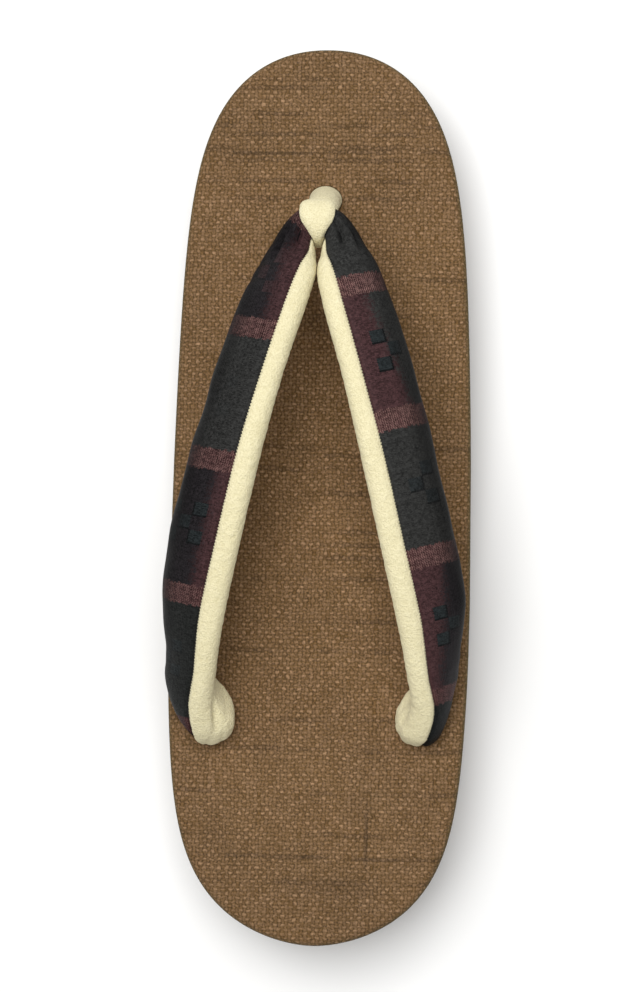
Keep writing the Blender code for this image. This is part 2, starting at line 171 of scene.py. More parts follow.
# Seams, fineness and relief of the visible strap
KEY_STEPS = 24  # between two key stations, to measure the arc
SEAM_PITCH = 0.0008  # one scallop of the sewn edge
SEAM_SCALLOP = 0.0002
SEAM_TUCK = 0.00055  # how far both edges dive into the seam
SEAM_LIP = 0.0001  # gap between the two edges
CLOTH_COLUMNS = 40
CLOTH_BACK_COLUMNS = 8
LINING_COLUMNS = 34
LINING_BACK_COLUMNS = 10
LINING_STEP = 0.001  # from column to column in its texture coordinates
LEFT_SEAM_TURN, RIGHT_SEAM_TURN = 14, -14  # degrees, at the rear holes
SEAM_TURN_REACH = 0.011  # how far from the holes the seam has turned back
LINING_CROWN = 0.00035  # how far the lining swells beside the seam
LINING_NAP, LINING_PUCKER = 0.00016, 0.00007
PUCKER_FOLDS = 11  # round the whole section
PUCKER_AT, PUCKER_LENGTH = 0.004, 0.003  # before the hole
CLOTH_SLACK = 0.0005
CLOTH_CROWDING, LINING_CROWDING = 1.35, 1.25  # powers that crowd the columns at the seam

# Humps of the strap, and creases where the height is negative. side: 1 right, -1 left, 0 both.
# at: metres from the fold or, in the rear tables, before the hole. length: half of it, in metres.
# degrees: where round the section, moving on by turn each mm. wide: half width in degrees.
HUMP_VALUES = ("side", "at", "length", "degrees", "turn", "wide", "height")
CLOTH_FOLDS = table(
    HUMP_VALUES,
    (1, 0.0085, 0.0045, 92, -2.2, 6, -0.0018),
    (1, 0.0095, 0.005, 122, -1.2, 7, -0.0019),
    (1, 0.0105, 0.005, 106, -1.6, 6, 0.001),
    (1, 0.0085, 0.004, 150, -1.0, 10, -0.0004),
    (-1, 0.0085, 0.0045, 84, -2.4, 6, -0.0014),
    (-1, 0.0105, 0.0055, 112, -1.6, 7, -0.0018),
    (-1, 0.0115, 0.005, 97, -2.0, 6, 0.001),
    (-1, 0.0175, 0.0012, 130, 0, 26, -0.0004),
    (-1, 0.0225, 0.0014, 138, 0, 24, -0.00035),
)
CLOTH_REAR = table(  # kinks of the cloth, then the left strap's fullness
    HUMP_VALUES,
    (0, 0.019, 0.0022, 165, 0, 40, -0.0005),
    (0, 0.0245, 0.002, 172, 0, 34, -0.0004),
    (0, 0.012, 0.0025, 150, 0, 44, -0.0004),
    (-1, 0.0115, 0.0095, 112, 0, 45, 0.0022),
    (-1, 0.064, 0.015, 112, 0, 45, 0.0012),
)
LINING_REAR = table(  # lobes of the lining, its heel and the creases between them
    HUMP_VALUES,
    (-1, 0.0062, 0.005, -88, 0, 34, 0.0004),
    (-1, 0.0065, 0.0045, -48, 0, 19, 0.001),
    (-1, 0.0105, 0.0045, -22.6, -2.6, 8, -0.0014),
    (-1, 0.0055, 0.0024, -25.6, -2.6, 5, -0.0005),
    (-1, 0.007, 0.0024, -47.5, -2.6, 5, -0.0005),
    (-1, 0.0045, 0.0024, 7.0, -2.6, 5, -0.0005),
    (-1, 0.0025, 0.003, 5, 0, 40, 0.0007),
    (1, 0.0035, 0.005, -88, 0, 34, 0.0005),
    (1, 0.0105, 0.006, -88, 0, 34, -0.0014),
    (1, 0.0105, 0.006, -50, 0, 11, -0.0006),
    (1, 0.0025, 0.003, 5, 0, 40, -0.0004),
)
CLOTH_FADE, LINING_FADE = 0.004, 0.003  # before the hole, where the relief dies away
PARTED_FROM, PARTED_OVER = 0.016, 0.024  # arc over which the two linings part

# Camera and light
EYE = Vector((0.048, 0.008, 0.677))
AIM = Vector((0.0, 0.0, 0.027))
LENS, SENSOR = 86.44, 36.0
ROLL_DEG = -0.9
SKY_STRENGTH = 0.47
LAMP_SPOT = Vector((-0.12, 0.35, 1.25))
LAMP_SIZE, LAMP_WATTS = 0.9, 17.0
FLOOR_HALF = 3.0


# Geometry of the sole and the strap, as the solids have it


def clamped(share):
    return min(max(share, 0.0), 1.0)


def smooth_table(rows, place):
    """The row at a fractional index, on a smooth curve through all the rows."""
    last = len(rows) - 1
    place = min(max(place, 0.0), float(last))
    low = min(int(place), last - 1)
    share = place - low
    near = [rows[min(max(low + step, 0), last)] for step in (-1, 0, 1, 2)]
    blended = {}
    for name in rows[low]:
        a, b, c, d = (row[name] for row in near)
        blended[name] = b + 0.5 * share * (
            c - a + share * (2 * a - 5 * b + 4 * c - d + share * (3 * (b - c) + d - a))
        )
    return blended


def height_along(along):
    along = clamped(along)
    low = max(i for i, row in enumerate(TOP_LINE[:-1]) if row["along"] <= along)
    span = TOP_LINE[low + 1]["along"] - TOP_LINE[low]["along"]
    return smooth_table(TOP_LINE, low + (along - TOP_LINE[low]["along"]) / span)["rise"]


def top_z(y):
    return BALL_HEIGHT + height_along(0.5 - y / LENGTH) * (HEEL_HEIGHT - BALL_HEIGHT)


def under_z(y):
    along = 0.5 - y / LENGTH
    spring = max(0.0, (SPRING_END - along) / SPRING_END)
    rocker = max(0.0, (along - ROCKER_START) / (1 - ROCKER_START))
    z = TOE_SPRING * spring**2 + HEEL_ROCKER * rocker**2
    if ARCH_START < along < ARCH_END:
        share = (along - ARCH_START) / (ARCH_END - ARCH_START)
        z += ARCH_RISE * math.sin(math.pi * share) ** 2
    return z


def end_outline(angle, power, root, taper, reach):
    away = math.sin(angle) ** (2 / power)
    half = math.cos(angle) ** (2 / root) if angle < math.pi / 2 else 0.0
    return away * reach, WIDTH / 2 * half * (1 - taper * away**2)


def side_outline():
    """Points of the right side of the sole, from the toe's tip to the heel's tip."""
    widest_y = LENGTH * (0.5 - WIDEST_ALONG)
    toe_reach, heel_reach = LENGTH * WIDEST_ALONG, LENGTH * (1 - WIDEST_ALONG)
    steps = [1 - i / OUTLINE_STEPS for i in range(OUTLINE_STEPS)]
    angles = [math.pi / 2 * step**OUTLINE_CROWDING for step in steps]
    toe = [end_outline(a, TOE_POWER, TOE_ROOT, TOE_TAPER, toe_reach) for a in angles]
    heel = [end_outline(a, HEEL_POWER, HEEL_ROOT, HEEL_TAPER, heel_reach) for a in angles]
    points = [Vector((half, widest_y + away)) for away, half in toe]
    points.append(Vector((WIDTH / 2, widest_y)))
    points += [Vector((half, widest_y - away)) for away, half in reversed(heel)]
    return points


def inward_of(points, i):
    if i in (0, len(points) - 1):
        return Vector((0.0, -1.0 if i == 0 else 1.0))
    run = points[i + 1] - points[i - 1]
    return Vector((run.y, -run.x)).normalized()


def board_normal(y):
    drop = top_z(y - SLOPE_STEP) - top_z(y + SLOPE_STEP)
    return Vector((0.0, drop, 2 * SLOPE_STEP)).normalized()


def rear_hole():
    y = -REAR_HOLE_BEHIND * LENGTH
    return Vector((TAIL_OUT * STRAP_HALF_SPREAD, y, top_z(y)))


def toe_hole():
    y = APEX_AHEAD * LENGTH + POST_LEAN
    return Vector((0.0, y, top_z(y)))


def strap_row(place):
    row = smooth_table(STRAP_ROWS, place)
    fold_y, hole_y = APEX_AHEAD * LENGTH, -REAR_HOLE_BEHIND * LENGTH
    y = fold_y + (hole_y - fold_y) * row["back"]
    row["centre"] = Vector((row["out"] * STRAP_HALF_SPREAD, y, top_z(y) + row["rise"] * STRAP_ARCH))
    row["half_wide"] = row["wide"] * STRAP_WIDTH / 2
    row["half_thick"] = row["plump"] * STRAP_THICKNESS / 2
    return row


def framed(row):
    facing, lean, down = (math.radians(row[name]) for name in ("face", "lean", "down"))
    lateral = Vector((math.cos(facing), math.sin(facing), 0.0))
    heading = Vector((math.sin(facing), -math.cos(facing), 0.0))
    normal = heading * math.sin(down) + Vector((0.0, 0.0, math.cos(down)))
    row["u"] = normal * math.sin(lean) - lateral * math.cos(lean)
    row["v"] = normal * math.cos(lean) + lateral * math.sin(lean)
    return row


def tail_stations():
    hole = rear_hole()
    normal = board_normal(hole.y)
    down = math.degrees(math.acos(normal.y))
    stations = []
    for height, radius in (
        (TAIL_PINCH_ABOVE, TAIL_RADIUS * TAIL_PINCH_WIDTH),
        (TAIL_MOUTH_ABOVE, TAIL_RADIUS),
        (-TAIL_DEPTH, TAIL_RADIUS * TAIL_END_WIDTH),
    ):
        row = dict(STRAP_ROWS[-1], lean=TAIL_LEAN, face=0, down=down)
        row["centre"] = hole + normal * height
        row["half_wide"] = row["half_thick"] = radius
        stations.append(framed(row))
    return stations


def section_point(row, degrees, inset):
    """A point of the section: 0 is the raised inner edge, 90 degrees the cloth's top."""
    wide, thick = row["half_wide"] - inset, row["half_thick"] - inset
    power, angle = 2 / STRAP_FULLNESS, math.radians(degrees)
    c, s = math.cos(angle), math.sin(angle)
    across = math.copysign(abs(c) ** power, c) * wide
    out = math.copysign(abs(s) ** power, s) * thick
    return row["centre"] + row["u"] * across + row["v"] * out


def distances(points):
    """How far along a line of points each of them lies."""
    found = [0.0]
    for a, b in zip(points, points[1:]):
        found.append(found[-1] + (b - a).length)
    return found


def spread(start, end, count):
    return [start + (end - start) * i / (count - 1) for i in range(count)]


# Meshes


def mesh_piece(name, points, faces, corner_uvs, material):
    """An object from points and faces. corner_uvs has one (u, v) in metres a face corner."""
    mesh = bpy.data.meshes.new(name)
    mesh.from_pydata([tuple(p) for p in points], [], faces)
    layer = mesh.uv_layers.new(name="metres")
    layer.data.foreach_set("uv", [value for pair in corner_uvs for value in pair])
    obj = bpy.data.objects.new(name, mesh)
    bpy.context.scene.collection.objects.link(obj)
    if material:
        mesh.materials.append(material)
    mesh.shade_smooth()
    return obj


def face_outwards(obj):
    bm = bmesh.new()
    bm.from_mesh(obj.data)
    bmesh.ops.recalc_face_normals(bm, faces=bm.faces)
    bm.to_mesh(obj.data)
    bm.free()
    return obj


def loft_piece(name, rings, uvs=None, material=None):
    """A closed solid through rings of points. Each row of uvs has one entry more than its ring."""
    count = len(rings[0])
    uvs = uvs or [[(0.0, 0.0)] * (count + 1)] * len(rings)
    points = [point for ring in rings for point in ring]
    faces, corners = [], []
    for low in range(len(rings) - 1):
        base, above = low * count, (low + 1) * count
        for i in range(count):
            j = (i + 1) % count
            faces.append((base + i, base + j, above + j, above + i))
            corners += [uvs[low][i], uvs[low][i + 1], uvs[low + 1][i + 1], uvs[low + 1][i]]
    for end in (0, len(rings) - 1):
        faces.append(tuple(end * count + i for i in range(count)))
        corners += uvs[end][:count]
    return face_outwards(mesh_piece(name, points, faces, corners, material))


def bake_modifiers(obj):
    """Turns the object's modifiers into its mesh."""
    bpy.context.view_layer.update()
    graph = bpy.context.evaluated_depsgraph_get()
    made = bpy.data.meshes.new_from_object(obj.evaluated_get(graph))
    obj.modifiers.clear()
    obj.data = made


def combine(obj, other, operation):
    """Joins or cuts obj with a helper, which is then removed."""
    modifier = obj.modifiers.new("combine", "BOOLEAN")
    modifier.operation = operation
    modifier.solver = "EXACT"
    modifier.object = other
    bake_modifiers(obj)
    bpy.data.objects.remove(other)


def ellipse(centre, half_width, half_depth, sides, normal):
    across = Vector((1.0, 0.0, 0.0))
    forward = normal.cross(across).normalized()
    turns = [2 * math.pi * i / sides for i in range(sides)]
    return [
        centre + across * math.cos(t) * half_width + forward * math.sin(t) * half_depth
        for t in turns
    ]


def drill(mouth, half_width, half_depth, depth):
    normal = board_normal(mouth.y)
    centres = [mouth - normal * depth, mouth + normal * INSOLE_THICKNESS]
    rings = [ellipse(c, half_width, half_depth, HOLE_SIDES, normal) for c in centres]
    return loft_piece("drill", rings)


def cut_holes(obj):
    right = rear_hole()
    radius = TAIL_RADIUS + HOLE_CLEARANCE
    for mouth in (right, Vector((-right.x, right.y, right.z))):
        combine(obj, drill(mouth, radius, radius, TAIL_DEPTH + HOLE_FLOOR_GAP), "DIFFERENCE")
    wide, deep = POST_HALF_WIDTH + HOLE_CLEARANCE, POST_HALF_DEPTH + HOLE_CLEARANCE
    combine(obj, drill(toe_hole(), wide, deep, POST_DEPTH + HOLE_FLOOR_GAP), "DIFFERENCE")


def sole_solid(name, levels, material, unfolded):
    """A layer of the sole with a finely gridded top. levels are (inset, height at y) upwards.

    unfolded: the cloth of the top is carried down over the rim. Otherwise the side is a
    strip of its own, measured along the rim from the toe and up from the foot.
    """
    outline = side_outline()
    last = len(outline) - 1
    inward = [inward_of(outline, i) for i in range(last + 1)]
    arc = distances(outline)
    count, top = 2 * last, len(levels) - 1
    sides = [(i, 1) for i in range(last + 1)] + [(i, -1) for i in range(last - 1, 0, -1)]
    points, uvs = [], []
    for inset, height in levels:
        for i, side in sides:
            spot = outline[i] + inward[i] * inset
            points.append(Vector((side * spot.x, spot.y, height(spot.y))))
    travelled = [0.0] * count
    rows = [None] * len(levels)
    for level in range(top, -1, -1):
        row = []
        for place, (i, side) in enumerate(sides):
            point = points[level * count + place]
            if level < top:
                travelled[place] += (point - points[(level + 1) * count + place]).length
            if unfolded:
                edge = points[top * count + place]
                out = Vector((-inward[i].x * side, -inward[i].y))
                row.append((edge.x + out.x * travelled[place], edge.y + out.y * travelled[place]))
            else:
                row.append((side * arc[i], -travelled[place]))
        rows[level] = row
    faces, corners = [], []
    for low in range(top):
        base, above = low * count, (low + 1) * count
        lower, upper = rows[low], rows[low + 1]
        for place in range(count):
            after = (place + 1) % count
            start, end = (lower[place], upper[place]), (lower[after], upper[after])
            if not unfolded and place == last:  # the heel, where the strip's two ends meet
                start = [(-along, up) for along, up in start]
            faces.append((base + place, base + after, above + after, above + place))
            corners += [start[0], end[0], end[1], start[1]]
    for level, columns in ((0, 1), (top, BOARD_COLUMNS)):
        base = level * count
        grid = [[base]]
        for i in range(1, last):
            right, left = points[base + i], points[base + count - i]
            row = [base + count - i]
            for column in range(1, columns):
                share = column / columns
                points.append(left.lerp(right, share))
                row.append(len(points) - 1)
            grid.append(row + [base + i])
        grid.append([base + last])
        for ahead, behind in zip(grid, grid[1:]):
            for column in range(columns):
                corner = [
                    ahead[min(column, len(ahead) - 1)],
                    ahead[min(column + 1, len(ahead) - 1)],
                    behind[min(column + 1, len(behind) - 1)],
                    behind[min(column, len(behind) - 1)],
                ]
                face = tuple(dict.fromkeys(corner))
                faces.append(face)
                corners += [(points[index].x, points[index].y) for index in face]
    return face_outwards(mesh_piece(name, points, faces, corners, material))


# Shader nodes


class Field:
    """A value that varies over a surface. Sums and products of fields make shader nodes."""

    def __init__(self, tree, socket):
        self.tree = tree
        self.socket = socket

    def math(self, operation, *others):
        return added(self.tree, "Math", dict(enumerate((self, *others))), operation=operation)

    def __add__(self, other):
        return self.math("ADD", other)

    __radd__ = __add__

    def __sub__(self, other):
        return self.math("SUBTRACT", other)

    def __rsub__(self, other):
        return added(self.tree, "Math", {0: other, 1: self}, operation="SUBTRACT")

    def __mul__(self, other):
        return self.math("MULTIPLY", other)

    __rmul__ = __mul__

    def __truediv__(self, other):
        return self.math("DIVIDE", other)

    def floor(self):
        return self.math("FLOOR")

    def cos(self):
        return self.math("COSINE")

    def over(self, other):
        """1 where this is greater than other, 0 elsewhere."""
        return self.math("GREATER_THAN", other)

    def ramp(self, start, end):
        """0 up to start and 1 from end on, smooth between."""
        sockets = {"Value": self, "From Min": start, "From Max": end, "To Min": 0.0, "To Max": 1.0}
        return added(self.tree, "MapRange", sockets, "Result", interpolation_type="SMOOTHSTEP")


def plug(tree, value, socket):
    if isinstance(value, Field):
        tree.links.new(value.socket, socket)
    else:
        socket.default_value = value


def added(tree, kind, sockets, output=0, **settings):
    """Adds a shader node with the given settings and inputs. Gives one output as a field."""
    node = tree.nodes.new("ShaderNode" + kind)
    for name, value in settings.items():
        setattr(node, name, value)
    for name, value in sockets.items():
        plug(tree, value, node.inputs[name])
    return Field(tree, node.outputs[output])


def mixed(tree, share, first, second):
    """A colour between two, each a colour or a field."""
    return added(tree, "Mix", {0: share, 6: first, 7: second}, 2, data_type="RGBA")


def brightened(tree, colour, amount):
    """The colour times a field of brightness."""
    return added(tree, "VectorMath", {0: colour, "Scale": amount}, operation="SCALE")


def vector_of(tree, x, y, z=0.0):
    return added(tree, "CombineXYZ", {0: x, 1: y, 2: z})


def cloud(tree, place, scale, detail=2.0):
    """Soft noise from 0 to 1 about 0.5."""
    return added(tree, "TexNoise", {"Scale": scale, "Detail": detail, "Vector": place}, "Fac")


def scatter(tree, place):
    """A random value from 0 to 1 for each whole number. Its uses scale and shift it apart."""
    return added(tree, "TexWhiteNoise", {"W": place}, "Value", noise_dimensions="1D")


def parts_of(tree, vector):
    """The x, y and z of a vector socket, each as a field."""
    node = tree.nodes.new("ShaderNodeSeparateXYZ")
    tree.links.new(vector, node.inputs[0])
    return [Field(tree, output) for output in node.outputs]


def metres(tree):
    """The surface's own coordinates along and across the cloth."""
    source = tree.nodes.new("ShaderNodeUVMap")
    source.uv_map = "metres"
    return parts_of(tree, source.outputs[0])[:2]


def place_in_object(tree):
    node = tree.nodes.new("ShaderNodeTexCoord")
    return Field(tree, node.outputs["Object"])


def new_material(name, roughness, **sockets):
    material = bpy.data.materials.new(name)
    material.use_nodes = True
    tree = material.node_tree
    shader = tree.nodes["Principled BSDF"]
    shader.inputs["Roughness"].default_value = roughness
    for socket, value in sockets.items():
        shader.inputs[socket.replace("_", " ")].default_value = value
    return material, tree, shader


def bump(tree, shader, height, depth):
    node = tree.nodes.new("ShaderNodeBump")
    node.inputs["Strength"].default_value = 1.0
    node.inputs["Distance"].default_value = depth
    plug(tree, height, node.inputs["Height"])
    tree.links.new(node.outputs[0], shader.inputs["Normal"])


# Materials

LINEN_PITCH = 0.00104  # from warp yarn to warp yarn
LINEN_ROW = 0.00116  # from weft yarn to weft yarn
LINEN_GAP = srgb(87, 65, 30)
LINEN_DARK = srgb(104, 76, 40)
LINEN_LIGHT = srgb(142, 113, 86)
# painted shade for the linen where it faces sideways
LINEN_RIM_SHADE = srgb(86, 74, 38)
YARN_SWAYS = ((90.0, 1.5), (600.0, 1.2))  # the yarns wander: scale of the noise, reach in pitches
CROSSING_MEAN, CROSSING_SWING = 0.52, 0.48  # height of a yarn, over and under the ones it crosses
SLUB_FROM, SLUB_DARK = 0.9, 0.26  # only the rows that draw more than this have slubs
LINEN_MARKS = table(  # slubs, soil and painted shade: middle and half length in mm, and how much darker
    ("x", "y", "long", "tall", "dark"),
    (-14.0, 94.0, 13.0, 0.5, 0.38),
    (14.4, -93.0, 0.6, 8.0, 0.3),
    (18.0, -98.3, 8.0, 0.5, 0.34),
    (0.0, -98.0, 4.5, 0.5, 0.3),
    (5.0, -106.0, 14.0, 3.0, 0.12),
    (12.0, -84.0, 5.0, 5.0, 0.12),
    # painted shade: a broad soft patch over the heel and a long band down the left side
    (0.0, -108.0, 40.0, 18.0, 0.05),
    (-36.0, 0.0, 12.0, 80.0, 0.06),
)


def soft_mark(place, middle, half):
    """1 at the middle of a mark and 0 beyond its half length, along one direction."""
    away = (place - middle).math("ABSOLUTE")
    return 1.0 - away.ramp(half * 0.5, half * 1.3)


def yarn_sway(tree, place):
    broad, close = ((cloud(tree, place, scale) - 0.5) * reach for scale, reach in YARN_SWAYS)
    return broad + close


def linen_material(name, rim_shade):
    """Coarse plain weave of uneven, slubby yarns. The rim argument sets how much painted shade
    darkens what faces sideways.
    """
    material, tree, shader = new_material(name, 0.85, Specular_IOR_Level=0.25)
    u, v = metres(tree)
    flat = vector_of(tree, u, v)
    p = u / LINEN_PITCH + yarn_sway(tree, flat)
    q = v / LINEN_ROW + yarn_sway(tree, vector_of(tree, v, u, 0.5))
    column, row = p.floor(), q.floor()
    x, y = p - column - 0.5, q - row - 0.5
    sign = 1.0 - (column + row).math("FLOORED_MODULO", 2.0) * 2.0
    across, along = (x * math.pi).cos(), (y * math.pi).cos()
    warp = across * (CROSSING_MEAN + sign * along * CROSSING_SWING)
    weft = along * (CROSSING_MEAN - sign * across * CROSSING_SWING)
    height = warp.math("MAXIMUM", weft)
    bead = scatter(tree, column * 17.0 + row * 1031.0)
    warp_tone = cloud(tree, vector_of(tree, column * 5.3, v * 200.0), 1.0, 3.0)
    weft_tone = cloud(tree, vector_of(tree, u * 200.0, row * 5.3, 4.0), 1.0, 3.0)
    weft_up = (weft - warp).ramp(0.05, 1.05)
    warp_up = (warp - weft).ramp(0.3, 1.1)
    tone = warp_tone + (weft_tone - warp_tone) * weft_up
    patch = cloud(tree, flat, 45.0, 3.0)
    fleck = cloud(tree, flat, 1900.0, 4.0)
    sparkle = bead.math("POWER", 3.0)
    shade = tone * 0.3 + patch * 0.4 + fleck * 1.8
    shade = shade + weft_up * (0.42 + sparkle * 0.26) + warp_up * 0.22
    shade = shade + (1.0 - along) * 0.2 - 0.59
    slub = scatter(tree, row * 3.0 + 0.5).over(SLUB_FROM) * (1.0 - weft_up * 0.4)
    slub = slub * cloud(tree, vector_of(tree, u * 40.0, row * 2.0, 9.0), 1.0).ramp(0.46, 0.56)
    shade = shade * (1.0 - slub * SLUB_DARK)
    across_mm, along_mm = u * 1000.0, v * 1000.0
    for mark in LINEN_MARKS:
        wide = soft_mark(across_mm, mark["x"], mark["long"])
        tall = soft_mark(along_mm, mark["y"], mark["tall"])
        shade = shade * (1.0 - wide * tall * (0.5 + patch) * mark["dark"])
    yarn = mixed(tree, (tone - 0.3) * 0.9 + bead * 0.25 + weft_up * 0.3, LINEN_DARK, LINEN_LIGHT)
    cloth = mixed(tree, height.ramp(0.04, 0.54), LINEN_GAP, yarn)
    up = parts_of(tree, tree.nodes.new("ShaderNodeTexCoord").outputs["Normal"])[2]
    # painted shade: darker and more olive where the surface faces sideways
    cloth = mixed(tree, (1.0 - up.ramp(0.3, 0.97)) * rim_shade, cloth, LINEN_RIM_SHADE)
    plug(tree, brightened(tree, cloth, shade), shader.inputs["Base Color"])
    relief = height * (0.5 + weft_up * 0.4 + bead * 0.3) + fleck * 0.6
    bump(tree, shader, relief, depth=0.00014)
    return material


TREAD_PITCH = 0.004  # of its crossing ribs


def rubber_material():
    material, tree, shader = new_material("rubber_grain", 0.7)
    place = place_in_object(tree)
    speck = cloud(tree, place, 900.0, 3.0)
    colour = mixed(tree, cloud(tree, place, 60.0, 3.0), srgb(44, 34, 27), srgb(62, 49, 38))
    plug(tree, colour, shader.inputs["Base Color"])
    x, y, _ = parts_of(tree, place.socket)
    turns = 2 * math.pi / TREAD_PITCH
    first, second = ((x + y) * turns).cos(), ((x - y) * turns).cos()
    tread = first.math("MAXIMUM", second).ramp(0.55, 0.9)
    bump(tree, shader, speck * 0.25 + tread, depth=0.0004)
    return material


CREAM = srgb(233, 224, 187)
CREAM_SHADE = srgb(211, 201, 160)


def suede_material(name, light, shade):
    """Short-napped cream cloth."""
    material, tree, shader = new_material(
        name, 0.95, Sheen_Weight=0.1, Sheen_Roughness=0.5, Specular_IOR_Level=0.2
    )
    place = place_in_object(tree)
    nap = cloud(tree, place, 2300.0, 3.0)
    mottle = cloud(tree, place, 620.0, 3.0)
    stroke = cloud(tree, place, 140.0, 2.0)
    share = nap.ramp(0.32, 0.68) * 0.68 + mottle.ramp(0.3, 0.7) * 0.2 + stroke.ramp(0.35, 0.65) * 0.12
    plug(tree, mixed(tree, share, shade, light), shader.inputs["Base Color"])
    bump(tree, shader, nap + mottle * 0.7, depth=0.0004)
    return material


# Jacquard: blocks of plain colour lie along each half of the strap, with a stripe between each
# two, at a Y. A block is dark outside and may be maroon beside the seam, over the share of its
# width that "front" gives at its front end and "rear" at its rear end. "ribs" is how strongly
# the light ribs show in the stripe behind it.
CHARCOAL = srgb(42, 42, 41)
NAVY = srgb(31, 28, 30)
BLACK = srgb(23, 24, 24)
SOOT = srgb(32, 33, 32)
MAROON = srgb(59, 40, 41)
STRIPE = srgb(56, 33, 35)
RIB = srgb(118, 91, 85)
SQUARE = srgb(32, 36, 37)
# painted shadow that the raised squares cast along two of their edges
SQUARE_SHADOW = srgb(17, 18, 19)
STRIPE_LENGTH = 0.0056
STRIPE_JAG = 0.0007  # how far the threads at its edge reach past each other
RIB_PITCH, WEFT_PITCH = 0.00064, 0.00026
RIGHT_PAINTED_HIGHLIGHT = 0.17  # painted highlight: how much brighter the right half of the cloth is painted, as the light falls more strongly there
OUTSIDE_PAINTED_SHADE = 0.7  # painted shade: how much darker the cloth is painted where it turns down
CLOTH_ACROSS = 0.02  # width of cloth that the camera sees
JACQUARD_REACH = 0.18  # the chart covers this length on each side of the fold
RIGHT_SLOPE, LEFT_SLOPE = 14.4, 8.5  # degrees that the stripes rise outwards
STRAIGHT_FROM, STRAIGHT_AT = 0.014, 0.026  # arc over which the stripes turn straight
STRAIGHT_END, STRAIGHT_END_OVER = 0.004, 0.01  # before the hole they follow the strap again
RIGHT_STRIPES = (0.0553, 0.0204, -0.0153, -0.0526)
BLOCK_VALUES = ("outer", "inner", "front", "rear", "ribs")
RIGHT_BLOCKS = table(
    BLOCK_VALUES,
    (CHARCOAL, CHARCOAL, 0, 0, 1.0),
    (CHARCOAL, MAROON, 0.31, 0.6, 1.0),
    (CHARCOAL, CHARCOAL, 0, 0, 0.85),
    (NAVY, MAROON, 0.5, 0.12, 0.4),
    (BLACK, BLACK, 0, 0, 0.0),
)
LEFT_STRIPES = (0.0721, 0.0438, 0.0092, -0.0262, -0.0602)
LEFT_BLOCKS = table(
    BLOCK_VALUES,
    (CHARCOAL, CHARCOAL, 0, 0, 0.8),
    (NAVY, MAROON, 0.29, 0.2, 0.8),
    (CHARCOAL, CHARCOAL, 0, 0, 0.8),
    (NAVY, MAROON, 0.19, 0.19, 0.7),
    (SOOT, SOOT, 0, 0, 0.3),
    (BLACK, MAROON, 0.4, 0.4, 0.0),
)
HALVES = ((-1, LEFT_STRIPES, LEFT_BLOCKS), (1, RIGHT_STRIPES, RIGHT_BLOCKS))
SQUARE_LONG, SQUARE_WIDE = 0.0038, 0.0045
SQUARE_ROWS = 3.0
SQUARE_SHADOW_FROM = 0.87  # share of a square, where the painted shadow along its edge begins
# Checked groups of squares: y of the group's start, metres from the seam to its inner edge, how
# many squares wide, 1 where its corner beside the seam and the fold is empty, and how strong
SQUARES = table(
    ("side", "y", "across", "columns", "odd", "strength", "colour"),
    (-1, 0.0625, 0.0042, 2, 0, 0.45, MAROON),
    (1, 0.0432, 0.0047, 2, 0, 1.0, SQUARE),
    (1, 0.0085, 0.0047, 2, 1, 0.8, SQUARE),
    (1, -0.0285, 0.0038, 2, 0, 1.0, SQUARE),
    (-1, 0.031, 0.0055, 2, 0, 0.15, SQUARE),
    (-1, -0.0022, 0.0038, 3, 0, 1.0, SQUARE),
    (-1, -0.039, 0.0045, 2, 0, 0.7, SQUARE),
)


def chart(tree, share, stops, blend="CONSTANT"):
    """A colour ramp through stops: (where from 0 to 1, colour)."""
    node = tree.nodes.new("ShaderNodeValToRGB")
    ramp = node.color_ramp
    ramp.interpolation = blend
    while len(ramp.elements) > 1:
        ramp.elements.remove(ramp.elements[-1])
    for where, colour in stops:
        ramp.elements.new(where).color = colour
    ramp.elements.remove(ramp.elements[0])
    plug(tree, share, node.inputs[0])
    return Field(tree, node.outputs[0])


def grey(value):
    return (value, value, value, 1.0)


def stretches_along(arc_at):
    """(start, end, block) of each block as signed arc, from the left tail to the right one."""
    stretches = []
    for side, stripes, blocks in HALVES:
        ends = [0.0, *(arc_at(y) for y in stripes), JACQUARD_REACH]
        for begin, end, block in zip(ends, ends[1:], blocks):
            stretches.append((*sorted((side * begin, side * end)), block))
    return sorted(stretches, key=lambda stretch: stretch[0])


def stripes_on(along, arc_at):
    """Two fields: 1 in a stripe and 0 elsewhere, and how strongly its ribs show."""
    striped, ribs = 0.0, 0.0
    for side, stripes, blocks in HALVES:
        for y, block in zip(stripes, blocks):
            away = (along - side * arc_at(y)).math("ABSOLUTE")
            stripe = 1.0 - away.over(STRIPE_LENGTH / 2)
            striped, ribs = stripe + striped, stripe * block["ribs"] + ribs
    return striped, ribs


def with_squares(tree, ground, u, v, arc_at):
    """The ground's colour with the squares on it and a painted shadow along two edges of each, and
    where they are raised.
    """
    raised = 0.0
    for group in SQUARES:
        begin = group["side"] * arc_at(group["y"])
        a = (u - begin) * (group["side"] / SQUARE_LONG)
        b = (v - group["across"]) / SQUARE_WIDE
        inside = a.over(0.0) * (1.0 - a.over(SQUARE_ROWS))
        inside = inside * b.over(0.0) * (1.0 - b.over(group["columns"]))
        odd = (a.floor() + b.floor() + group["odd"]).math("FLOORED_MODULO", 2.0)
        mask = inside * (1.0 - odd) * group["strength"]
        raised = mask + raised
        # painted shadow: a dark line along the far edges of each square
        edge = (a - a.floor()).math("MAXIMUM", b - b.floor()).over(SQUARE_SHADOW_FROM)
        ground = mixed(tree, mask, ground, mixed(tree, edge, group["colour"], SQUARE_SHADOW))
    return ground, raised


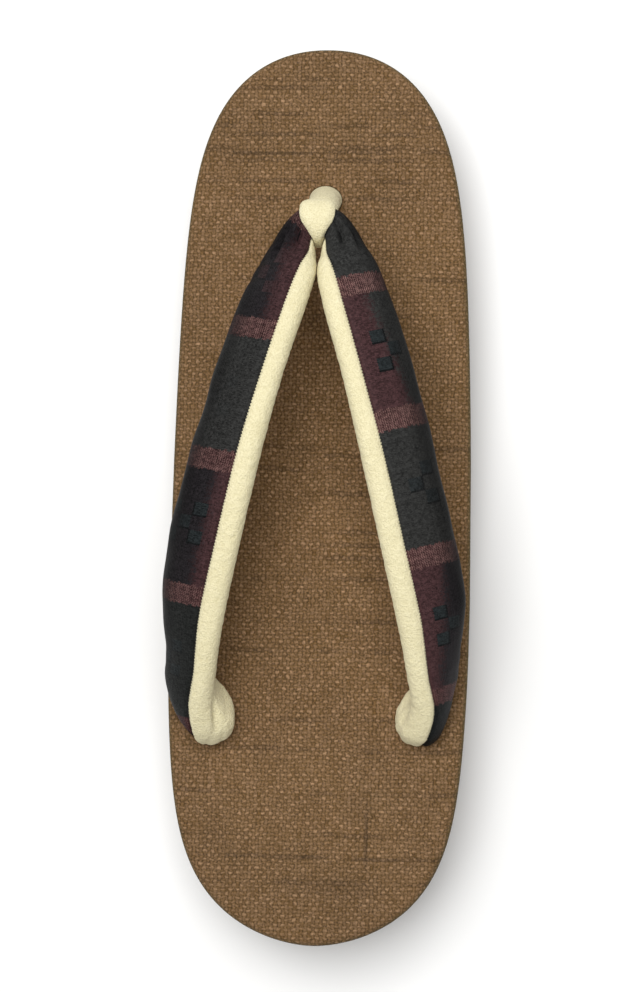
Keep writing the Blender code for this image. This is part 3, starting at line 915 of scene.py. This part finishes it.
def jacquard_material(arc_at):
    """Figured cloth. arc_at gives the arc from the fold at which the strap reaches a Y."""
    material, tree, shader = new_material("jacquard", 0.5, Specular_IOR_Level=0.04)
    u, v = metres(tree)
    rib = v / RIB_PITCH
    thread = rib.floor()
    jag = (scatter(tree, thread) - 0.5) * STRIPE_JAG
    fine = scatter(tree, (u / WEFT_PITCH).floor() + thread * 31.0)
    thread_tone = scatter(tree, thread * 5.0 + 2.0)
    streak = cloud(tree, vector_of(tree, u * 260.0, thread * 3.7), 1.0, 2.0)
    along, stretches = u + jag, stretches_along(arc_at)

    def place(arc):
        return (arc + JACQUARD_REACH) / (2 * JACQUARD_REACH)

    share, shares = place(along), []
    for begin, end, block in stretches:
        if block["front"]:
            first, second = ("front", "rear") if begin >= 0 else ("rear", "front")
            shares += [(place(begin), grey(block[first])), (place(end), grey(block[second]))]
    outer, inner = (
        chart(tree, share, [(place(begin), block[name]) for begin, _, block in stretches])
        for name in ("outer", "inner")
    )
    reach = chart(tree, share, shares, "LINEAR")
    striped, ribs = stripes_on(along, arc_at)
    across = v / CLOTH_ACROSS
    dither = (fine - 0.5) * 0.14 + (streak - 0.5) * 0.22
    blocks = mixed(tree, (across + dither - reach).ramp(-0.07, 0.09), inner, outer)
    ground, raised = with_squares(tree, blocks, u, v, arc_at)
    wave = (rib * (2 * math.pi)).cos()
    ribbed = (wave * 0.5 + 0.5) * (0.2 + fine * 0.45 + thread_tone * 0.5)
    ribbed = ribbed * ribs * (1.0 - across.ramp(0.62, 0.9) * 0.8)
    stripe_colour = mixed(tree, ribbed, STRIPE, RIB)
    cloth = mixed(tree, striped, ground, stripe_colour)
    grain = cloud(tree, vector_of(tree, u * 900.0, v * 3600.0), 1.0, 2.0)
    pile = scatter(tree, thread * 7.0 + 3.0)
    woven = grain.ramp(0.3, 0.7) * 0.6 + fine * 0.85 + pile * 0.2 + streak * 0.5
    # painted highlight: the right half of the cloth is painted brighter
    bright = woven - 0.14 + u.over(0.0) * RIGHT_PAINTED_HIGHLIGHT
    # painted shade: the cloth is painted darker where it turns down
    bright = bright * (1.0 - across.ramp(0.3, 0.8) * OUTSIDE_PAINTED_SHADE)
    plug(tree, brightened(tree, cloth, bright), shader.inputs["Base Color"])
    ridge = wave * (0.25 + striped * 0.5)
    bump(tree, shader, ridge + grain + raised * 1.5, depth=0.00009)
    return material


# Pieces of the sole


def build_insole(material):
    def at(drop):
        return lambda y: top_z(y) - drop

    levels = [(BOARD_UNDERCUT, at(INSOLE_THICKNESS)), (0.0, at(INSOLE_THICKNESS - BOARD_UNDERCUT))]
    for i in range(BOARD_EDGE_TURNS + 1):
        turn = math.pi / 2 * i / BOARD_EDGE_TURNS
        inset = BOARD_EDGE_RADIUS * (1 - math.cos(turn))
        levels.append((inset, at(BOARD_EDGE_RADIUS * (1 - math.sin(turn)))))
    board = sole_solid("insole_linen", levels, material, unfolded=True)
    cut_holes(board)
    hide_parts("insole")
    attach(board, "root")


def build_midsole(material):
    def foot(y):
        return under_z(y) + OUTSOLE_THICKNESS + LAYER_GAP

    def head(y):
        return top_z(y) - INSOLE_THICKNESS - LAYER_GAP

    def between(share):
        return lambda y: foot(y) + (head(y) - foot(y)) * share

    levels = []
    for i in range(CORE_LEVELS + 1):
        share = i / CORE_LEVELS
        taper = (1 - share) ** CORE_FLARE
        inset = CORE_INSET_TOP + (CORE_INSET_FOOT - CORE_INSET_TOP) * taper
        levels.append((inset, between(share)))
    core = sole_solid("midsole_wrap", levels, material, unfolded=False)
    cut_holes(core)
    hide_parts("midsole")
    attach(core, "root")


def build_outsole(material):
    def at(share):
        return lambda y: under_z(y) + OUTSOLE_THICKNESS * share

    bevel_share = RUBBER_BEVEL / OUTSOLE_THICKNESS
    levels = (
        (RUBBER_INSET + RUBBER_BEVEL, at(0.0)),
        (RUBBER_INSET + RUBBER_BEVEL * 0.3, at(bevel_share * 0.3)),
        (RUBBER_INSET, at(bevel_share)),
        (RUBBER_INSET, at(1.0)),
    )
    rubber = sole_solid("outsole_rubber", levels, material, unfolded=False)
    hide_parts("outsole")
    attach(rubber, "root")


# Strap


def mirrored_station(station):
    turned = dict(station)
    for name in ("centre", "u", "v"):
        turned[name] = Vector((-station[name].x, station[name].y, station[name].z))
    return turned


def tidy_frame(station):
    station["u"] = station["u"].normalized()
    station["v"] = (station["v"] - station["u"] * station["v"].dot(station["u"])).normalized()
    return station


def strap_keys():
    """Key stations of the whole strap, left mouth to right mouth, as the solids have them."""
    rows = [framed(strap_row(i / 2)) for i in range(2 * (len(STRAP_ROWS) - 1) + 1)]
    right = rows + tail_stations()[:-1]
    return [mirrored_station(s) for s in reversed(right[1:])] + right


def fine_stations():
    """The strap at even steps of half a scallop, from the left tail to the right one.

    A station has its arc from the fold, what is left_to_go to the hole, and its scallop's tooth.
    """
    keys = strap_keys()
    middle = (len(keys) - 1) // 2
    places = [middle + i / KEY_STEPS for i in range(middle * KEY_STEPS + 1)]
    centres = [smooth_table(keys, place)["centre"] for place in places]
    arcs = distances(centres)
    count = round(arcs[-1] / SEAM_PITCH * 2)
    right, low = [], 0
    for i in range(count + 1):
        arc = arcs[-1] * i / count
        while arcs[low + 1] < arc and low < len(arcs) - 2:
            low += 1
        share = (arc - arcs[low]) / (arcs[low + 1] - arcs[low])
        station = tidy_frame(smooth_table(keys, places[low] + share / KEY_STEPS))
        station.update(arc=arc, left_to_go=arcs[-1] - arc, tooth=1 if i % 2 else -1)
        right.append(station)
    end = dict(tail_stations()[-1], arc=arcs[-1] + TAIL_DEPTH, left_to_go=-TAIL_DEPTH, tooth=1)
    right.append(end)
    left = [dict(mirrored_station(station), arc=-station["arc"]) for station in right[1:]]
    return left[::-1] + right


def hump(distance, width):
    """1 at no distance, falling off softly over the width."""
    return math.exp(-((distance / width) ** 2))


def turned_seam(station):
    """The seam's place in degrees: at the rear it turns, and the other way on the right strap."""
    turn = LEFT_SEAM_TURN if station["arc"] < 0 else RIGHT_SEAM_TURN
    return station["seam"] + turn * hump(max(station["left_to_go"], 0.0), SEAM_TURN_REACH)


def relief_of(humps, side, along, degrees):
    """How far a table of humps stands out at one place of the strap, in metres."""
    total = 0.0
    for row in humps:
        if row["side"] in (0, side):
            away = along - row["at"]
            line = row["degrees"] + row["turn"] * away * 1000
            total += row["height"] * hump(away, row["length"]) * hump(degrees - line, row["wide"])
    return total


def lining_relief(station, degrees):
    """How far the lining stands out from the plain section, in metres."""
    below = turned_seam(station) - degrees
    parted = clamped((abs(station["arc"]) - PARTED_FROM) / PARTED_OVER)
    swell = LINING_CROWN * (1.6 * parted - 0.6) * hump(below - 34, 30) - SEAM_TUCK * hump(below, 5)
    behind, side = station["left_to_go"], math.copysign(1.0, station["arc"])
    lobes = relief_of(LINING_REAR, side, behind, degrees)
    folds = math.cos(math.radians(degrees * PUCKER_FOLDS))
    pucker = LINING_PUCKER * folds * hump(behind - PUCKER_AT, PUCKER_LENGTH)
    nap = LINING_NAP * noise.noise(Vector((station["arc"] * 900, degrees / 8, side * 5.3)))
    return swell + (lobes + pucker + nap) * clamped(behind / LINING_FADE)


def cloth_relief(station, degrees):
    """How far the cloth stands out from the plain section, in metres."""
    below = degrees - turned_seam(station)
    dive = -SEAM_TUCK * hump(below, 4.5) - SEAM_TUCK * 0.5 * hump(SEAM_OUTER_DEG - degrees, 5)
    behind, side = station["left_to_go"], math.copysign(1.0, station["arc"])
    fade = clamped(behind / CLOTH_FADE)
    slack = CLOTH_SLACK * noise.noise(Vector((station["arc"] * 85, degrees / 46, side * 3.1)))
    rear = relief_of(CLOTH_REAR, side, behind, degrees) + slack * hump(below - 80, 70)
    return dive + rear * fade + relief_of(CLOTH_FOLDS, side, abs(station["arc"]), degrees)


def seam_angle(station, low_side):
    """The place of the cloth's edge, its scallop and its gap to the lining, in degrees."""
    base = SEAM_OUTER_DEG if low_side else turned_seam(station)
    angle = math.radians(base)
    reach = math.hypot(
        station["half_wide"] * math.sin(angle), station["half_thick"] * math.cos(angle)
    )
    return base, math.degrees(SEAM_SCALLOP / reach) * station["tooth"], math.degrees(SEAM_LIP / reach)


def cloth_ring(station):
    """Outside of the cloth from seam to seam, then its back, and the distance across at each."""
    top, tooth, _ = seam_angle(station, False)
    low, _, _ = seam_angle(station, True)
    ring, across, run = [], [], 0.0
    for share in spread(0.0, 1.0, CLOTH_COLUMNS):
        degrees = top + (low - top) * share**CLOTH_CROWDING
        jagged = degrees + tooth * hump(degrees - top, 4)
        point = section_point(station, jagged, -cloth_relief(station, degrees))
        if ring:
            run += (point - ring[-1]).length
        ring.append(point)
        across.append(run)
    for degrees in spread(low, top, CLOTH_BACK_COLUMNS):
        ring.append(section_point(station, degrees, CLOTH_WALL))
        across.append(run)
    return ring, across + [0.0]


def lining_ring(station):
    """Back of the lining, under the cloth, then its outside from seam to seam."""
    top, tooth, lip = seam_angle(station, False)
    low, _, low_lip = seam_angle(station, True)
    back = spread(low + low_lip, top - lip, LINING_BACK_COLUMNS)
    ring = [section_point(station, degrees, CLOTH_WALL + CLOTH_GAP) for degrees in back]
    start, end = top - lip + 360, low + low_lip
    for share in spread(0.0, 1.0, LINING_COLUMNS):
        degrees = start + (end - start) * share**LINING_CROWDING
        seen = degrees - 360
        jagged = degrees + tooth * hump(seen - top, 4)
        ring.append(section_point(station, jagged, -lining_relief(station, seen)))
    return ring


def stripe_arc(station, point, arc_at):
    """Where a point of the cloth lies in the chart: the stripes run straight in plan."""
    arc, side = abs(station["arc"]), math.copysign(1.0, station["arc"])
    slope = math.radians(RIGHT_SLOPE if side > 0 else LEFT_SLOPE)
    outwards = abs(point.x) - abs(station["centre"].x)
    straight = arc_at(point.y - math.tan(slope) * outwards)
    start = clamped((arc - STRAIGHT_FROM) / (STRAIGHT_AT - STRAIGHT_FROM))
    end = clamped((station["left_to_go"] - STRAIGHT_END) / STRAIGHT_END_OVER)
    share = start * start * (3 - 2 * start) * end
    return side * (arc + (straight - arc) * share)


def build_strap(cloth_material, lining_material, stations, arc_at):
    rings, uvs = [], []
    for station in stations:
        ring, across = cloth_ring(station)
        lines = [stripe_arc(station, point, arc_at) for point in ring]
        rings.append(ring)
        uvs.append(list(zip(lines + lines[:1], across)))
    cloth = loft_piece("strap_jacquard", rings, uvs, cloth_material)
    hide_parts("strap_cloth")
    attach(cloth, "root")
    rings = [lining_ring(station) for station in stations]
    across = [i * LINING_STEP for i in range(len(rings[0]) + 1)]
    uvs = [[(station["arc"], step) for step in across] for station in stations]
    lining = loft_piece("strap_padding", rings, uvs, lining_material)
    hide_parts("strap_lining")
    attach(lining, "root")


# Front loop


BAND_SKEW = 0.04  # how much less the left edge reaches, inwards of the top
BAND_SHIFT = 0.0004  # how far its outside sits to the left
BAND_CREASE = 0.0004
BAND_CREASE_LEFT, BAND_CREASE_WIDTH = 0.0019, 0.0007
BAND_TIP_SHORT = 0.0007  # how much thinner the band is at its rear tip
LOOP_VOXEL = 0.00028
LOOP_RINGS, ROOM_RINGS, LOOP_RING_POINTS = 13, 25, 44


def room_rings():
    """The room for the strap inside the band, from its left end to its right one."""
    turns = [360 * i / LOOP_RING_POINTS for i in range(LOOP_RING_POINTS)]
    rings = []
    for place in spread(0.0, LOOP_ROOM_REACH, ROOM_RINGS):
        row = framed(strap_row(place))
        rings.append([section_point(row, turn, -LOOP_CLEARANCE) for turn in turns])
    return [[Vector((-p.x, p.y, p.z)) for p in ring] for ring in rings[:0:-1]] + rings


def post_rings():
    hole, fold = toe_hole(), strap_row(0.0)["centre"]
    normal = board_normal(hole.y)
    ahead = Vector((0.0, 1.0, 0.0))
    climb = fold + ahead * POST_HEAD_AHEAD - hole
    stations = [(hole - normal * POST_DEPTH, POST_END_WIDTH)]
    for row in COLLAR:
        stations.append((hole + normal * row["height"], row["width"]))
    for row in POST_RISE:
        bow = ahead * POST_BOW * row["bow"]
        stations.append((hole + climb * row["climb"] + bow, row["width"]))
    return [
        ellipse(centre, POST_HALF_WIDTH * width, POST_HALF_DEPTH * width, HOLE_SIDES, normal)
        for centre, width in stations
    ]


def band_reach(degrees, side):
    """How many rows of the strap the band covers at this place round the section."""
    place = degrees % 360 / 45
    low = int(place)
    first, second = LOOP_EDGE[low], LOOP_EDGE[(low + 1) % len(LOOP_EDGE)]
    skew = BAND_SKEW * hump((degrees + 180) % 360 - 250, 40) if side < 0 else 0.0
    return (first + (second - first) * (place - low)) * (1 - skew)


def band_ring(share, side, growth):
    """A ring of the band, round the fold at share 0 and along the band's edge at 1."""
    ring = []
    for i in range(LOOP_RING_POINTS):
        degrees = 360 * i / LOOP_RING_POINTS
        turned = (degrees + 180) % 360
        row = framed(strap_row(band_reach(degrees, side) * share))
        short = BAND_TIP_SHORT * hump(turned - 180, 28) * (1 - share)
        point = section_point(row, degrees, short - growth)
        crease = BAND_CREASE * hump(side * point.x + BAND_CREASE_LEFT, BAND_CREASE_WIDTH)
        crease *= hump(turned - 215, 32)
        point -= (point - row["centre"]).normalized() * crease
        point.x = point.x * side - BAND_SHIFT
        ring.append(point)
    return ring


def build_front_loop(material):
    halves = []
    for side in (-1, 1):
        rings = []
        for share in spread(0.0, 1.0, LOOP_RINGS):
            wall = LOOP_WALL * math.sqrt(1 - share**LOOP_ROUNDING)
            growth = LOOP_CLEARANCE + max(wall, LOOP_WALL * LOOP_RIM_SHARE)
            rings.append(band_ring(share, side, growth))
        halves.append(rings + [band_ring(1.0, side, -LOOP_HEM)])
    rings = halves[0][:0:-1] + halves[1]
    band = loft_piece("front_band", rings, material=material)
    combine(band, loft_piece("post", post_rings()), "UNION")
    combine(band, loft_piece("room", room_rings()), "DIFFERENCE")
    remesh = band.modifiers.new("even", "REMESH")
    remesh.mode = "VOXEL"
    remesh.voxel_size = LOOP_VOXEL
    remesh.use_smooth_shade = True
    smooth = band.modifiers.new("soften", "SMOOTH")
    smooth.factor = 0.5
    smooth.iterations = 3
    bake_modifiers(band)
    band.data.materials.clear()
    band.data.materials.append(material)
    band.data.shade_smooth()
    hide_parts("front_loop")
    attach(band, "root")


# Stage


def build_stage():
    floor_material, tree, shader = new_material("pale_floor", 0.9)
    place = place_in_object(tree)
    tone = mixed(tree, cloud(tree, place, 3.0), srgb(240, 240, 239), srgb(243, 243, 242))
    plug(tree, tone, shader.inputs["Base Color"])
    signs = ((-1, -1), (1, -1), (1, 1), (-1, 1))
    corners = [(x * FLOOR_HALF, y * FLOOR_HALF, 0.0) for x, y in signs]
    floor = mesh_piece("floor", corners, [(0, 1, 2, 3)], [(0.0, 0.0)] * 4, floor_material)
    scene = bpy.context.scene
    world = bpy.data.worlds.new("studio")
    world.use_nodes = True
    background = world.node_tree.nodes["Background"]
    background.inputs[0].default_value = grey(1.0)
    background.inputs[1].default_value = SKY_STRENGTH
    scene.world = world
    lamp = bpy.data.lights.new("softbox", "AREA")
    lamp.shape = "SQUARE"
    lamp.size = LAMP_SIZE
    lamp.energy = LAMP_WATTS
    light = bpy.data.objects.new("softbox", lamp)
    scene.collection.objects.link(light)
    light.location = LAMP_SPOT
    light.rotation_mode = "QUATERNION"
    light.rotation_quaternion = (AIM - LAMP_SPOT).to_track_quat("-Z", "Y")
    scene.view_settings.view_transform = "Standard"


def build_camera():
    data = bpy.data.cameras.new("camera")
    data.lens, data.sensor_width = LENS, SENSOR
    data.clip_start = 0.01
    camera = bpy.data.objects.new("camera", data)
    bpy.context.scene.collection.objects.link(camera)
    forward = (AIM - EYE).normalized()
    right = forward.cross(Vector((0.0, 1.0, 0.0))).normalized()
    up = right.cross(forward)
    turn = Matrix.Rotation(math.radians(ROLL_DEG), 3, forward)
    columns = Matrix((turn @ right, turn @ up, -forward)).transposed()
    camera.matrix_world = Matrix.Translation(EYE) @ columns.to_4x4()
    bpy.context.scene.camera = camera


def main():
    build_stage()
    build_camera()
    top_linen = linen_material("linen_top", 0.75)
    side_linen = linen_material("linen_side", 0.25)
    build_outsole(rubber_material())
    build_midsole(side_linen)
    build_insole(top_linen)
    stations = fine_stations()
    right = [s for s in stations if s["arc"] >= 0]
    behind = [right[0]["centre"].y - s["centre"].y for s in right]

    def arc_at(y):
        """Arc from the fold of the place where the strap's middle is at this y."""
        back = right[0]["centre"].y - y
        i = min(max(bisect.bisect(behind, back), 1), len(behind) - 1)
        gap = max(behind[i] - behind[i - 1], 1e-6)
        share = clamped((back - behind[i - 1]) / gap)
        return right[i - 1]["arc"] + (right[i]["arc"] - right[i - 1]["arc"]) * share

    padding = suede_material("padding_suede", CREAM, CREAM_SHADE)
    build_strap(jacquard_material(arc_at), padding, stations, arc_at)
    build_front_loop(suede_material("band_suede", CREAM, CREAM_SHADE))


main()
